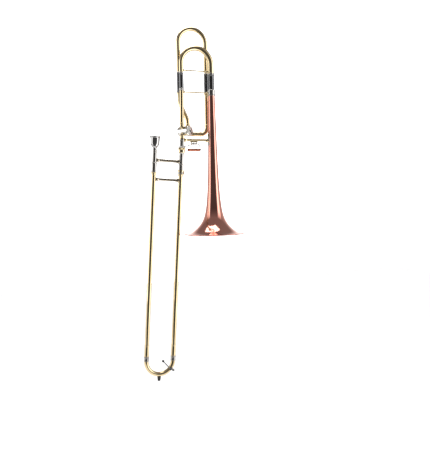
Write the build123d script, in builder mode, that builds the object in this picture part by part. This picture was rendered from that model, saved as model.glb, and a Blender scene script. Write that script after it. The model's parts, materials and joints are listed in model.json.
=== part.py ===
from build123d import *

import os
from math import cos, radians, sin

os.makedirs("parts", exist_ok=True)

# A tenor trombone with a rotary F valve. The origin is the centre of the bell's rim plane, +Z runs up the
# bell axis towards the tuning slide, -X points to the hand slide and +Y to the F tubing behind the bell.

# Clearances
SEAM = 0.1
RUNNING = 0.08

# Bell
BELL_WALL = 0.6
RIM_RADIUS = 108.0
RIM_WIRE = 1.8
BELL_TAIL_Z = 492.0
FLARE = [(104.3, 1.4), (98.2, 3.0), (88.5, 6.0), (78.0, 11.0), (67.6, 19.0), (56.8, 29.0), (44.4, 44.0)]
FLARE += [(33.6, 69.0), (27.2, 104.0), (22.2, 157.5), (18.7, 229.0), (16.6, 299.6), (15.0, 371.0)]
TAIL_RADIUS = 12.2

# Tubing bores and walls
MAIN_OUT = 7.7
MAIN_IN = 7.1
RING_OUT = 8.9

# Main tuning slide
SMALL_X = -108.0
MAIN_TOP_Z = 501.8
SLEEVE_FOOT_Z = 506.0
SLEEVE_TOP_Z = 561.0
BOW_FOOT_Z = 566.0
BOW_CENTRE_Z = 596.0
BOW_SMALL = 7.9
BOW_LARGE = 10.9
BOW_WALL = 0.7
LARGE_SLEEVE_OUT = 11.2
LARGE_SLEEVE_IN = 10.5
SMALL_SLEEVE_OUT = 8.3
SMALL_SLEEVE_IN = 7.75
LEG_WALL = 0.5
TUNING_BRACE_Z = 572.2
UPPER_BRACE_Z = 498.0
BRACE_ROD = 2.6

# F attachment, in a plane behind the main tubing
F_Y = 28.0
F_LEFT_X = -109.0
F_RIGHT_X = -9.5
F_SLEEVE_FOOT_Z = 500.5
F_SLEEVE_TOP_Z = 568.5
F_STAY_RING_Z = 536.0
F_BOW_FOOT_Z = 572.5
F_BOW_CENTRE_Z = 674.0
F_LEG_FOOT_Z = 506.5
F_OUT_Z = 357.0
F_ELBOW_RADIUS = 25.0
F_HIGH_TURN_Z = F_SLEEVE_FOOT_Z - 34.0
F_LOW_TURN_Z = 405.0
F_TURN_RADIUS = 40.0
LOW_STAY_Z = 470.0
HIGH_STAY_Z = F_SLEEVE_FOOT_Z - 8.0
STAY_ROD = 2.2

# Hand slide: its axis leans away from the bell
LEAN = 4.03
SLIDE_X = -113.2
SLIDE_Z = 300.0
SLIDE_GAP = 95.0
INNER_OUT = 7.25
INNER_IN = 6.95
STOCKING_OUT = 7.42
OUTER_IN = 7.5
OUTER_OUT = 7.9
INNER_TOP = -40.2
BARREL_TOP = -51.5
OUTER_TOP = -79.0
BARREL_FOOT = -85.0
INNER_BRACE = -42.8
OUTER_BRACE = -108.2
OVERSLEEVE_TOP = -684.0
OVERSLEEVE_FOOT = -723.0
CROOK_TOP = -740.0
INNER_FOOT = -722.0
STOCKING_TOP = -624.0
GRIP_RADIUS = 5.8
GRIP_WALL = 0.9

# Mouthpiece
MOUTHPIECE_TOP = 38.5
SHANK_FOOT = -36.0
RECEIVER_TOP = -6.0

# Rotary valve
VALVE_TURN = 34.5
VALVE_Z = 364.0
PORT_OFFSET = 16.0
KNUCKLE = 27.0
CASING_OUT = 17.5
CASING_IN = 15.65
CASING_HALF = 20.0
ROTOR_OUT = 15.57
ROTOR_HALF = 17.0
CAP_FACE = 23.5
SPINDLE = 3.0
STOP_ARM_S = -28.0
STOP_ARM_REACH = 10.0
LINK_PIN = 1.2
LINK_STRAIGHT = 26.0
LINK_WIRE = 1.2
STOP_ANGLES = (102, 258)
STOP_CORK_RADIUS = 1.8

# Thumb lever
LOWER_BRACE_Z = 332.8
LOWER_BRACE_ROD = 5.0
FLANGE_FOOT_Z = 315.0
FLANGE_LENGTH = 41.0
HINGE_Z = 320.0
HINGE_PIN = 1.5
EAR_LEFT = -77.0
EAR_RIGHT = -60.5
EAR_THICK = 1.6
LEVER_WIRE = 1.7
CRANK_X = -96.5
LINK_FOOT_X = -102.0
CRANK_REACH = 28.0
CRANK_DROP = STOP_ARM_REACH * sin(radians(45))
ROLLER_Y = -6.0
ROLLER_Z = 298.0
ROLLER_LEFT = -93.0
ROLLER_RIGHT = -49.7
ROLLER_RADIUS = 5.6
RIBS = 9

# Water key
KEY_ANGLE = 35.0
KEY_Y = -12.5
KEY_PIN = 1.1
KEY_LEVER = 40.0
CROOK_TUBE = MAIN_OUT + 0.2
BUMPER_LENGTH = 15.6

BELL = Plane.XY
LARGE = Plane.XY
SMALL = Plane(origin=(SMALL_X, 0, 0))
F_LEFT = Plane(origin=(F_LEFT_X, F_Y, 0))
F_RIGHT = Plane(origin=(F_RIGHT_X, F_Y, 0))

slide_up = Vector(sin(radians(LEAN)), 0, cos(radians(LEAN)))
slide_right = Vector(cos(radians(LEAN)), 0, -sin(radians(LEAN)))
LOWER = Plane(origin=(SLIDE_X, 0, SLIDE_Z), x_dir=slide_right, z_dir=slide_up)
UPPER = Plane(origin=LOWER.origin - slide_right * SLIDE_GAP, x_dir=slide_right, z_dir=slide_up)

valve_axis = Vector(sin(radians(VALVE_TURN)), -cos(radians(VALVE_TURN)), 0)
valve_side = Vector(cos(radians(VALVE_TURN)), sin(radians(VALVE_TURN)), 0)
main_port_x = SLIDE_X + (VALVE_Z - KNUCKLE - SLIDE_Z) * sin(radians(LEAN)) / cos(radians(LEAN))
valve_centre = Vector(main_port_x, 0, VALVE_Z) + valve_side * PORT_OFFSET
VALVE = Plane(origin=valve_centre, x_dir=valve_side, z_dir=valve_axis)


def side_of(base):
    """The plane through a shaft's axis in which its profile is drawn: x is the radius, y the height."""
    return Plane(origin=base.origin, x_dir=base.x_dir, z_dir=-base.y_dir)


def turn(base, *outline, mode=Mode.ADD):
    """A turned solid about the base plane's normal, from its corners as (radius, height)."""
    with BuildSketch(side_of(base)) as profile:
        with BuildLine():
            Polyline(*outline, close=True)
        make_face()
    revolve(profile.sketch, axis=Axis(base.origin, base.z_dir), mode=mode)


def pipe(base, low, high, outer, inner=0.0, mode=Mode.ADD):
    """A straight tube, or a rod where there is no inner radius."""
    turn(base, (inner, low), (outer, low), (outer, high), (inner, high), mode=mode)


def rod(start, end, radius, mode=Mode.ADD):
    """A round bar between two points."""
    run = Vector(*end) - Vector(*start)
    pipe(Plane(origin=start, z_dir=run), 0, run.length, radius, mode=mode)


def bent_pipe(points, bends, outer, inner=0.0):
    """A bent tube along straight runs joined by arcs."""
    with BuildLine() as route:
        FilletPolyline(*points, radius=bends)
    with BuildSketch(Plane(origin=route.line @ 0, z_dir=route.line % 0)) as section:
        Circle(outer)
        if inner > 0:
            Circle(inner, mode=Mode.SUBTRACT)
    sweep(section.sketch, path=route.line)


def brace(start, end, radius, foot, flare):
    """A cross brace with a trumpet foot at each end, drawn from tube axis to tube axis."""
    run = Vector(*end) - Vector(*start)
    length = run.length
    base = Plane(origin=start, z_dir=run)
    near = (foot, 0), (foot, flare[0]), (radius, flare[0] + flare[1])
    far = (radius, length - flare[2] - flare[1]), (foot, length - flare[2]), (foot, length)
    turn(base, (0, 0), *near, *far, (0, length))


def ring(base, low, high, outer, inner):
    """A ferrule ring with softened edges."""
    soft = min(0.6, (outer - inner) / 2)
    lip = (outer, low + soft), (outer, high - soft)
    turn(base, (inner, low), (outer - soft, low), *lip, (outer - soft, high), (inner, high))


def finish(piece, name):
    """Label a finished piece and write it."""
    piece.part.label = name
    export_step(piece.part, f"parts/{name}.step")


# --- Bell -------------------------------------------------------------------------------------------------


def inner_flare(outside, stations=16):
    """Points one wall thickness inside the outer flare, square to it."""
    points = []
    for station in range(stations + 1):
        along = station / stations
        heading = outside % along
        points.append(outside @ along + Vector(-heading.Y, heading.X) * BELL_WALL)
    return points


with BuildPart() as bell:
    with BuildSketch(Plane.XZ):
        with BuildLine():
            outside = Spline(*FLARE, (TAIL_RADIUS, BELL_TAIL_Z))
            inside = Spline(*inner_flare(outside))
            Line(outside @ 0, inside @ 0)
            Line(outside @ 1, inside @ 1)
        make_face()
    revolve(axis=Axis.Z)
finish(bell, "bell")

with BuildPart() as bell_rim_wire:
    with Locations((0, 0, RIM_WIRE)):
        Torus(RIM_RADIUS - RIM_WIRE, RIM_WIRE)
finish(bell_rim_wire, "bell_rim_wire")

with BuildPart() as bell_ferrule:
    lower_lip = (TAIL_RADIUS + 0.25, BELL_TAIL_Z - 4), (13.2, BELL_TAIL_Z - 4), (13.4, BELL_TAIL_Z)
    upper_lip = (13.0, SLEEVE_FOOT_Z - 5), (12.4, SLEEVE_FOOT_Z + 3)
    inside = (LARGE_SLEEVE_OUT + SEAM, SLEEVE_FOOT_Z + 3), (LARGE_SLEEVE_OUT + SEAM, SLEEVE_FOOT_Z - SEAM)
    seat = (10.5, SLEEVE_FOOT_Z - SEAM), (10.5, BELL_TAIL_Z + 1), (TAIL_RADIUS + 0.25, BELL_TAIL_Z + 1)
    turn(LARGE, *lower_lip, *upper_lip, *inside, *seat)
finish(bell_ferrule, "bell_ferrule")

# --- Main tuning slide, fixed side ------------------------------------------------------------------------

with BuildPart() as large_slide_sleeve:
    pipe(LARGE, SLEEVE_FOOT_Z, SLEEVE_TOP_Z - 5, LARGE_SLEEVE_OUT, LARGE_SLEEVE_IN)
    ring(LARGE, SLEEVE_TOP_Z - 5, SLEEVE_TOP_Z, LARGE_SLEEVE_OUT + 0.5, LARGE_SLEEVE_IN)
finish(large_slide_sleeve, "large_slide_sleeve")

with BuildPart() as small_slide_sleeve:
    pipe(SMALL, SLEEVE_FOOT_Z, SLEEVE_TOP_Z - 5, SMALL_SLEEVE_OUT, SMALL_SLEEVE_IN)
    ring(SMALL, SLEEVE_TOP_Z - 5, SLEEVE_TOP_Z, SMALL_SLEEVE_OUT + 0.5, SMALL_SLEEVE_IN)
finish(small_slide_sleeve, "small_slide_sleeve")

main_top = Vector(SMALL_X, 0, MAIN_TOP_Z)
main_foot = Vector(main_port_x, 0, VALVE_Z + KNUCKLE + 0.4)
MAIN = Plane(origin=main_foot, z_dir=main_top - main_foot)

with BuildPart() as main_tube:
    pipe(MAIN, 0, (main_top - main_foot).length, MAIN_OUT, MAIN_IN)
finish(main_tube, "main_tube")

with BuildPart() as small_sleeve_ring:
    ring(SMALL, MAIN_TOP_Z + 1, SLEEVE_FOOT_Z + 4, 9.4, SMALL_SLEEVE_OUT + SEAM)
    pipe(SMALL, MAIN_TOP_Z + 0.6, SLEEVE_FOOT_Z - SEAM, SMALL_SLEEVE_OUT + 0.3, MAIN_IN)
finish(small_sleeve_ring, "small_sleeve_ring")

with BuildPart() as upper_brace:
    brace((SMALL_X, 0, UPPER_BRACE_Z), (0, 0, UPPER_BRACE_Z), BRACE_ROD, 3.9, (11.5, 3, 17))
    pipe(MAIN, 0, 200, MAIN_OUT + SEAM, mode=Mode.SUBTRACT)
    pipe(LARGE, UPPER_BRACE_Z - 20, UPPER_BRACE_Z + 20, 13.4 + SEAM, mode=Mode.SUBTRACT)
finish(upper_brace, "upper_brace")

# --- Main tuning slide, moving side -----------------------------------------------------------------------

with BuildPart() as tuning_bow:
    pipe(SMALL, BOW_FOOT_Z, BOW_CENTRE_Z, BOW_SMALL)
    pipe(LARGE, BOW_FOOT_Z, BOW_CENTRE_Z, BOW_LARGE)
    for wall, mode in ((0.0, Mode.ADD), (BOW_WALL, Mode.SUBTRACT)):
        with BuildLine(Plane.XZ) as crown:
            CenterArc((SMALL_X / 2, BOW_CENTRE_Z), -SMALL_X / 2, 0, 180)
        with BuildSketch(Plane.XY.offset(BOW_CENTRE_Z)) as large_end:
            Circle(BOW_LARGE - wall)
        with BuildSketch(Plane(origin=(SMALL_X, 0, BOW_CENTRE_Z))) as small_end:
            Circle(BOW_SMALL - wall)
        sweep([large_end.sketch, small_end.sketch], path=crown.line, multisection=True, mode=mode)
    pipe(SMALL, BOW_FOOT_Z, BOW_CENTRE_Z, BOW_SMALL - BOW_WALL, mode=Mode.SUBTRACT)
    pipe(LARGE, BOW_FOOT_Z, BOW_CENTRE_Z, BOW_LARGE - BOW_WALL, mode=Mode.SUBTRACT)
finish(tuning_bow, "tuning_bow")

with BuildPart() as tuning_slide_legs:
    pipe(LARGE, SLEEVE_FOOT_Z + 3, BOW_FOOT_Z - SEAM, LARGE_SLEEVE_IN - RUNNING, LARGE_SLEEVE_IN - LEG_WALL)
    pipe(SMALL, SLEEVE_FOOT_Z + 3, BOW_FOOT_Z - SEAM, SMALL_SLEEVE_IN - RUNNING, SMALL_SLEEVE_IN - LEG_WALL)
finish(tuning_slide_legs, "tuning_slide_legs")

with BuildPart() as tuning_bow_rings:
    ring(LARGE, SLEEVE_TOP_Z + 0.5, BOW_FOOT_Z - SEAM, BOW_LARGE + 1.2, LARGE_SLEEVE_IN + 0.02)
    ring(SMALL, SLEEVE_TOP_Z + 0.5, BOW_FOOT_Z - SEAM, BOW_SMALL + 1.2, SMALL_SLEEVE_IN + 0.02)
finish(tuning_bow_rings, "tuning_bow_rings")

with BuildPart() as tuning_brace:
    brace((SMALL_X, 0, TUNING_BRACE_Z), (0, 0, TUNING_BRACE_Z), BRACE_ROD, 4.2, (11.5, 3, 15))
    pipe(SMALL, TUNING_BRACE_Z - 6, TUNING_BRACE_Z + 6, BOW_SMALL + SEAM, mode=Mode.SUBTRACT)
    pipe(LARGE, TUNING_BRACE_Z - 6, TUNING_BRACE_Z + 6, BOW_LARGE + SEAM, mode=Mode.SUBTRACT)
finish(tuning_brace, "tuning_brace")

# --- F attachment tubing ----------------------------------------------------------------------------------

f_knuckle_end = valve_centre + valve_side * PORT_OFFSET + Vector(0, 0, KNUCKLE + SEAM)
f_out_bend = Vector(valve_centre.X + 12.0, F_Y, F_OUT_Z)
f_out_start = f_out_bend + Vector(13.0, 0, 0)

with BuildPart() as f_return_tube:
    high_turn = (F_LEFT_X, F_Y, F_HIGH_TURN_Z)
    low_turn = (f_knuckle_end.X, f_knuckle_end.Y, F_LOW_TURN_Z)
    top = (F_LEFT_X, F_Y, F_SLEEVE_FOOT_Z - SEAM)
    bent_pipe([top, high_turn, low_turn, f_knuckle_end], [F_TURN_RADIUS] * 2, MAIN_OUT, MAIN_IN)
finish(f_return_tube, "f_return_tube")

elbow_start_x = F_RIGHT_X - F_ELBOW_RADIUS

with BuildPart() as f_out_tube:
    far_end = (elbow_start_x - SEAM, F_Y, F_OUT_Z)
    rod(f_out_start, far_end, MAIN_OUT)
    rod(f_out_start, far_end, MAIN_IN, mode=Mode.SUBTRACT)
finish(f_out_tube, "f_out_tube")

with BuildPart() as f_elbow:
    corner = (F_RIGHT_X, F_Y, F_OUT_Z)
    rise = (F_RIGHT_X, F_Y, F_OUT_Z + F_ELBOW_RADIUS + 6)
    bent_pipe([(elbow_start_x, F_Y, F_OUT_Z), corner, rise], [F_ELBOW_RADIUS - 0.5], MAIN_OUT, MAIN_IN)
finish(f_elbow, "f_elbow")

riser_foot_z = F_OUT_Z + F_ELBOW_RADIUS + 6 + SEAM

with BuildPart() as f_riser_tube:
    pipe(F_RIGHT, riser_foot_z, F_SLEEVE_FOOT_Z - SEAM, MAIN_OUT, MAIN_IN)
finish(f_riser_tube, "f_riser_tube")

OUTWARD = Plane(origin=(elbow_start_x, F_Y, F_OUT_Z), z_dir=(1, 0, 0))

with BuildPart() as f_tube_rings:
    ring(F_RIGHT, riser_foot_z - 3, riser_foot_z + 3, RING_OUT, MAIN_OUT + SEAM)
    ring(OUTWARD, -3.4, 2.6, RING_OUT, MAIN_OUT + 0.15)
    for leg in (F_LEFT, F_RIGHT):
        ring(leg, F_SLEEVE_FOOT_Z - 4, F_SLEEVE_FOOT_Z - 0.2, RING_OUT + 0.3, MAIN_OUT + SEAM)
finish(f_tube_rings, "f_tube_rings")

with BuildPart() as f_slide_sleeves:
    for leg in (F_LEFT, F_RIGHT):
        pipe(leg, F_SLEEVE_FOOT_Z, F_SLEEVE_TOP_Z - 5, SMALL_SLEEVE_OUT, SMALL_SLEEVE_IN)
        ring(leg, F_SLEEVE_TOP_Z - 5, F_SLEEVE_TOP_Z, SMALL_SLEEVE_OUT + 0.6, SMALL_SLEEVE_IN)
    ring(F_RIGHT, F_STAY_RING_Z - 2, F_STAY_RING_Z + 2, SMALL_SLEEVE_OUT + 0.6, SMALL_SLEEVE_IN)
finish(f_slide_sleeves, "f_slide_sleeves")

with BuildPart() as f_tuning_bow:
    left_foot = (F_LEFT_X, F_Y, F_BOW_FOOT_Z)
    right_foot = (F_RIGHT_X, F_Y, F_BOW_FOOT_Z)
    half_gap = (F_RIGHT_X - F_LEFT_X) / 2
    crown_z = F_BOW_CENTRE_Z + half_gap
    left_corner = (F_LEFT_X, F_Y, crown_z)
    right_corner = (F_RIGHT_X, F_Y, crown_z)
    bent_pipe([left_foot, left_corner, right_corner, right_foot], [half_gap - 0.01] * 2, MAIN_OUT, MAIN_IN)
finish(f_tuning_bow, "f_tuning_bow")

with BuildPart() as f_tuning_legs:
    for leg in (F_LEFT, F_RIGHT):
        pipe(leg, F_LEG_FOOT_Z, F_BOW_FOOT_Z - SEAM, SMALL_SLEEVE_IN - RUNNING, SMALL_SLEEVE_IN - LEG_WALL)
finish(f_tuning_legs, "f_tuning_legs")

with BuildPart() as f_bow_rings:
    for leg in (F_LEFT, F_RIGHT):
        ring(leg, F_SLEEVE_TOP_Z + 0.4, F_BOW_FOOT_Z - SEAM, RING_OUT + 0.3, SMALL_SLEEVE_IN + 0.02)
finish(f_bow_rings, "f_bow_rings")

with BuildPart() as f_stays:
    rod((0, 0, LOW_STAY_Z), (F_RIGHT_X, F_Y, LOW_STAY_Z), STAY_ROD)
    rod((SMALL_X, 0, HIGH_STAY_Z), (F_LEFT_X, F_Y, HIGH_STAY_Z), STAY_ROD)
    pipe(BELL, LOW_STAY_Z - 9, LOW_STAY_Z + 9, 13.5, mode=Mode.SUBTRACT)
    pipe(MAIN, 0, 120, MAIN_OUT + SEAM, mode=Mode.SUBTRACT)
    pipe(F_RIGHT, LOW_STAY_Z - 9, LOW_STAY_Z + 9, MAIN_OUT + SEAM, mode=Mode.SUBTRACT)
    pipe(F_LEFT, HIGH_STAY_Z - 9, HIGH_STAY_Z + 9, MAIN_OUT + SEAM, mode=Mode.SUBTRACT)
finish(f_stays, "f_stays")

# --- Rotary valve -----------------------------------------------------------------------------------------


def in_valve(side, height, along=0.0):
    """A point given in the valve's own frame."""
    return valve_centre + valve_side * side + Vector(0, 0, height) + valve_axis * along


def knuckle_route(side, up):
    """The route of one upright knuckle, from inside the casing out to its collar."""
    start = in_valve(side * 8.5, up * 8.5)
    bend = in_valve(side * PORT_OFFSET, up * PORT_OFFSET)
    return [start, bend, in_valve(side * PORT_OFFSET, up * KNUCKLE)]


UPRIGHT_PORTS = [(-1, 1), (-1, -1), (1, 1)]

with BuildPart() as valve_casing:
    pipe(VALVE, -CASING_HALF, CASING_HALF, CASING_OUT, CASING_IN)
    for side, up in UPRIGHT_PORTS + [(1, -1)]:
        rod(in_valve(side * 6.0, up * 6.0), in_valve(side * 16.0, up * 16.0), MAIN_IN, mode=Mode.SUBTRACT)
    ring(VALVE, -CASING_HALF, -CASING_HALF + 4, CASING_OUT + 0.7, CASING_OUT - 0.5)
    ring(VALVE, CASING_HALF - 4, CASING_HALF, CASING_OUT + 0.7, CASING_OUT - 0.5)
finish(valve_casing, "valve_casing")

with BuildPart() as valve_knuckles:
    for side, up in UPRIGHT_PORTS:
        route = knuckle_route(side, up)
        bent_pipe(route, [16], MAIN_OUT + 0.1, MAIN_IN)
        collar = Plane(origin=route[2], z_dir=(0, 0, -up))
        ring(collar, 0, 5, RING_OUT, MAIN_OUT)
    f_out_route = [in_valve(8.5, -8.5), f_out_bend, f_out_start - Vector(SEAM, 0, 0)]
    bent_pipe(f_out_route, [11], MAIN_OUT + 0.1, MAIN_IN)
    ring(Plane(origin=f_out_route[2], z_dir=(-1, 0, 0)), 0, 5, RING_OUT, MAIN_OUT)
    pipe(VALVE, -30, 30, CASING_OUT + 0.72, mode=Mode.SUBTRACT)
finish(valve_knuckles, "valve_knuckles")

with BuildPart() as valve_front_cap:
    inner_step = (SPINDLE + 0.4, ROTOR_HALF + 0.5), (CASING_IN - SEAM, ROTOR_HALF + 0.5)
    seat = (CASING_IN - SEAM, CASING_HALF + SEAM), (CASING_OUT, CASING_HALF + SEAM)
    face = (CASING_OUT, CAP_FACE - 1.5), (CASING_OUT - 1.5, CAP_FACE), (SPINDLE + 0.4, CAP_FACE + 0.6)
    turn(VALVE, *inner_step, *seat, *face)
finish(valve_front_cap, "valve_front_cap")

with BuildPart() as valve_rear_plate:
    inner_step = (SPINDLE + RUNNING, -ROTOR_HALF - 0.5), (CASING_IN - SEAM, -ROTOR_HALF - 0.5)
    seat = (CASING_IN - SEAM, -CASING_HALF - SEAM), (CASING_OUT - 0.4, -CASING_HALF - SEAM)
    face = (CASING_OUT - 0.4, -CAP_FACE + 1), (CASING_OUT - 1.4, -CAP_FACE), (SPINDLE + RUNNING, -CAP_FACE)
    turn(VALVE, *inner_step, *seat, *face)
finish(valve_rear_plate, "valve_rear_plate")

with BuildPart() as valve_stop_corks:
    for angle in STOP_ANGLES:
        spot = in_valve(8.0 * cos(radians(angle)), 8.0 * sin(radians(angle)), -CAP_FACE - SEAM)
        rod(spot, spot - valve_axis * 5.4, STOP_CORK_RADIUS)
finish(valve_stop_corks, "valve_stop_corks")

with BuildPart() as valve_rotor:
    pipe(VALVE, -ROTOR_HALF, ROTOR_HALF, ROTOR_OUT)
    pipe(VALVE, ROTOR_HALF, CAP_FACE - 0.4, SPINDLE)
    pipe(VALVE, -29.6, -ROTOR_HALF, SPINDLE)
    for side in (-1, 1):
        with BuildLine() as passage:
            ThreePointArc(in_valve(side * 13, -13), in_valve(side * 7.6, 0), in_valve(side * 13, 13))
        with BuildSketch(Plane(origin=passage.line @ 0, z_dir=passage.line % 0)) as bore:
            Circle(6.3)
        sweep(bore.sketch, path=passage.line, mode=Mode.SUBTRACT)
finish(valve_rotor, "valve_rotor")

arm_tip = in_valve(STOP_ARM_REACH * cos(radians(45)), -STOP_ARM_REACH * sin(radians(45)), STOP_ARM_S)
ARM_BASE = Plane(origin=VALVE.origin + valve_axis * (STOP_ARM_S + 1.2), x_dir=valve_side, z_dir=-valve_axis)

with BuildPart() as stop_arm:
    with BuildSketch(ARM_BASE):
        Circle(5.0)
        with Locations(Rotation(0, 0, 45)):
            SlotCenterToCenter(8.5 + STOP_ARM_REACH, 5.0)
    extrude(amount=2.4)
    pipe(VALVE, -40, 0, SPINDLE + 0.05, mode=Mode.SUBTRACT)
    rod(arm_tip + valve_axis * 0.5, arm_tip - valve_axis * 5.4, LINK_PIN)
finish(stop_arm, "stop_arm")

with BuildPart() as stop_arm_screw:
    turn(VALVE, (0, -29.7), (3.9, -29.7), (3.9, -31.2), (3.0, -32.0), (0, -32.0))
finish(stop_arm_screw, "stop_arm_screw")

# --- Thumb lever and link ---------------------------------------------------------------------------------

crank_y = (CRANK_REACH**2 - CRANK_DROP**2) ** 0.5
crank_end = Vector(CRANK_X, crank_y, HINGE_Z - CRANK_DROP)
link_top = arm_tip - valve_axis * 3.2
link_bend = link_top - Vector(0, 0, LINK_STRAIGHT)
link_foot = Vector(LINK_FOOT_X, crank_end.Y, crank_end.Z)
LINK_TOP = Plane(origin=link_top, x_dir=valve_side, z_dir=valve_axis)
LINK_FOOT = Plane(origin=link_foot, z_dir=(1, 0, 0))

with BuildPart() as link_rod:
    bent_pipe([link_top, link_bend, link_foot], [8], LINK_WIRE)
    pipe(LINK_TOP, -1.6, 1.6, 3.0)
    pipe(LINK_FOOT, -1.5, 1.5, 4.4)
    pipe(LINK_TOP, -3, 3, LINK_PIN + RUNNING, mode=Mode.SUBTRACT)
    pipe(LINK_FOOT, -3, 3, LINK_PIN + 1.7, mode=Mode.SUBTRACT)
finish(link_rod, "link_rod")

neck_x_at_brace = SLIDE_X + (LOWER_BRACE_Z - SLIDE_Z) * sin(radians(LEAN)) / cos(radians(LEAN))

with BuildPart() as lower_brace:
    brace_ends = (neck_x_at_brace, 0, LOWER_BRACE_Z), (0, 0, LOWER_BRACE_Z)
    brace(*brace_ends, LOWER_BRACE_ROD, 6.6, (12, 5, 21))
    rod(*brace_ends, LOWER_BRACE_ROD - 0.8, mode=Mode.SUBTRACT)
    pipe(LOWER, 0, 60, 7.9 + SEAM, mode=Mode.SUBTRACT)
    pipe(BELL, LOWER_BRACE_Z - 20, LOWER_BRACE_Z + 20, 17.4, mode=Mode.SUBTRACT)
    knuckle_foot = in_valve(-PORT_OFFSET, -KNUCKLE - SEAM)
    rod(knuckle_foot, knuckle_foot + Vector(0, 0, 20), RING_OUT + SEAM, mode=Mode.SUBTRACT)
finish(lower_brace, "lower_brace")

with BuildPart() as bell_flange:
    with BuildSketch(Plane.XY.offset(FLANGE_FOOT_Z)):
        Circle(17.3)
        Circle(16.55, mode=Mode.SUBTRACT)
        with Locations((-16, 0)):
            Rectangle(18, 19, mode=Mode.INTERSECT)
    extrude(amount=FLANGE_LENGTH)
finish(bell_flange, "bell_flange")

hinge_x = (EAR_LEFT + EAR_RIGHT) / 2

with BuildPart() as lever_saddle:
    with Locations((hinge_x, 0, LOWER_BRACE_Z - 6)):
        Box(EAR_RIGHT - EAR_LEFT + 8, 8.5, 4.0)
    for ear_x in (EAR_LEFT - EAR_THICK / 2, EAR_RIGHT + EAR_THICK / 2):
        with Locations((ear_x, 0, HINGE_Z + 2)):
            Box(EAR_THICK, 7.0, 7.0)
        rod((ear_x - EAR_THICK / 2, 0, HINGE_Z), (ear_x + EAR_THICK / 2, 0, HINGE_Z), 3.5)
    rod(*brace_ends, LOWER_BRACE_ROD + SEAM, mode=Mode.SUBTRACT)
    rod((EAR_LEFT - 9, 0, HINGE_Z), (EAR_RIGHT + 9, 0, HINGE_Z), HINGE_PIN + 0.03, mode=Mode.SUBTRACT)
finish(lever_saddle, "lever_saddle")

with BuildPart() as lever_hinge_rod:
    rod((EAR_LEFT - EAR_THICK - 0.6, 0, HINGE_Z), (EAR_RIGHT + EAR_THICK + 0.8, 0, HINGE_Z), HINGE_PIN)
    rod((EAR_RIGHT + EAR_THICK + 0.1, 0, HINGE_Z), (EAR_RIGHT + EAR_THICK + 1.4, 0, HINGE_Z), 2.6)
finish(lever_hinge_rod, "lever_hinge_rod")

with BuildPart() as thumb_lever:
    rod((EAR_LEFT + 0.3, 0, HINGE_Z), (EAR_RIGHT - 0.3, 0, HINGE_Z), 2.8)
    left_root = (EAR_LEFT + 2.5, 1.0, HINGE_Z)
    left_bend = (EAR_LEFT + 2.5, 8.0, HINGE_Z - 2.0)
    bent_pipe([left_root, left_bend, crank_end], [3], LEVER_WIRE)
    rod(crank_end + Vector(LEVER_WIRE, 0, 0), crank_end - Vector(8.5, 0, 0), LINK_PIN)
    right_root = (EAR_RIGHT - 2.5, -1.0, HINGE_Z)
    right_bend = (EAR_RIGHT - 2.5, -8.0, HINGE_Z)
    tip = (ROLLER_RIGHT + 3.3, ROLLER_Y, ROLLER_Z)
    knee = (ROLLER_RIGHT - 1.7, -8.0, HINGE_Z - 3.0)
    bent_pipe([right_root, right_bend, knee, tip], [3, 7], LEVER_WIRE)
    with Locations(tip):
        Sphere(2.6)
    rod(tip, (ROLLER_LEFT - 1.0, ROLLER_Y, ROLLER_Z), 1.5)
    rod((ROLLER_LEFT - 0.4, ROLLER_Y, ROLLER_Z), (ROLLER_LEFT - 2.0, ROLLER_Y, ROLLER_Z), 2.6)
    rod((EAR_LEFT - 9, 0, HINGE_Z), (EAR_RIGHT + 9, 0, HINGE_Z), HINGE_PIN + RUNNING, mode=Mode.SUBTRACT)
finish(thumb_lever, "thumb_lever")

with BuildPart() as thumb_roller:
    pitch = (ROLLER_RIGHT - ROLLER_LEFT) / RIBS
    for rib in range(RIBS):
        foot = Plane(origin=(ROLLER_LEFT + rib * pitch, ROLLER_Y, ROLLER_Z), z_dir=(1, 0, 0))
        crest = (ROLLER_RADIUS, pitch * 0.25), (ROLLER_RADIUS, pitch * 0.75)
        turn(foot, (1.58, 0), (ROLLER_RADIUS - 0.7, 0), *crest, (ROLLER_RADIUS - 0.7, pitch), (1.58, pitch))
finish(thumb_roller, "thumb_roller")

with BuildPart() as lever_spring:
    coil = (hinge_x - 2.8, 0, HINGE_Z), (hinge_x + 2.8, 0, HINGE_Z)
    rod(*coil, 3.9)
    rod(*coil, 2.95, mode=Mode.SUBTRACT)
finish(lever_spring, "lever_spring")

# --- Neckpipe and lock nut --------------------------------------------------------------------------------

neck_top = (VALVE_Z - KNUCKLE - SLIDE_Z) / cos(radians(LEAN)) - 1.0

with BuildPart() as neckpipe:
    turn(LOWER, (6.6, -22), (7.2, -22), (7.25, 0), (7.9, 2), (7.9, neck_top), (7.1, neck_top), (7.1, 0))
finish(neckpipe, "neckpipe")

with BuildPart() as neckpipe_collar:
    disc = (8.0, 5.4), (12.6, 5.4), (13.2, 6.2), (13.2, 7.4), (12.4, 8.4)
    turn(LOWER, *disc, (9.4, 9.0), (8.9, 13.0), (8.0, 13.0))
finish(neckpipe_collar, "neckpipe_collar")

with BuildPart() as lock_nut:
    outside = (12.8, 5.0), (12.8, -1.0), (12.0, -2.5), (11.6, -12.0), (10.9, -12.6)
    turn(LOWER, (8.1, 5.0), *outside, (10.1, -12.6), (10.1, -1.0), (8.1, 1.2))
    with BuildSketch(LOWER.offset(-1.0)):
        with PolarLocations(13.35, 24):
            Circle(0.9)
    extrude(amount=6.0, mode=Mode.SUBTRACT)
finish(lock_nut, "lock_nut")

# --- Inner hand slide -------------------------------------------------------------------------------------

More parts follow.
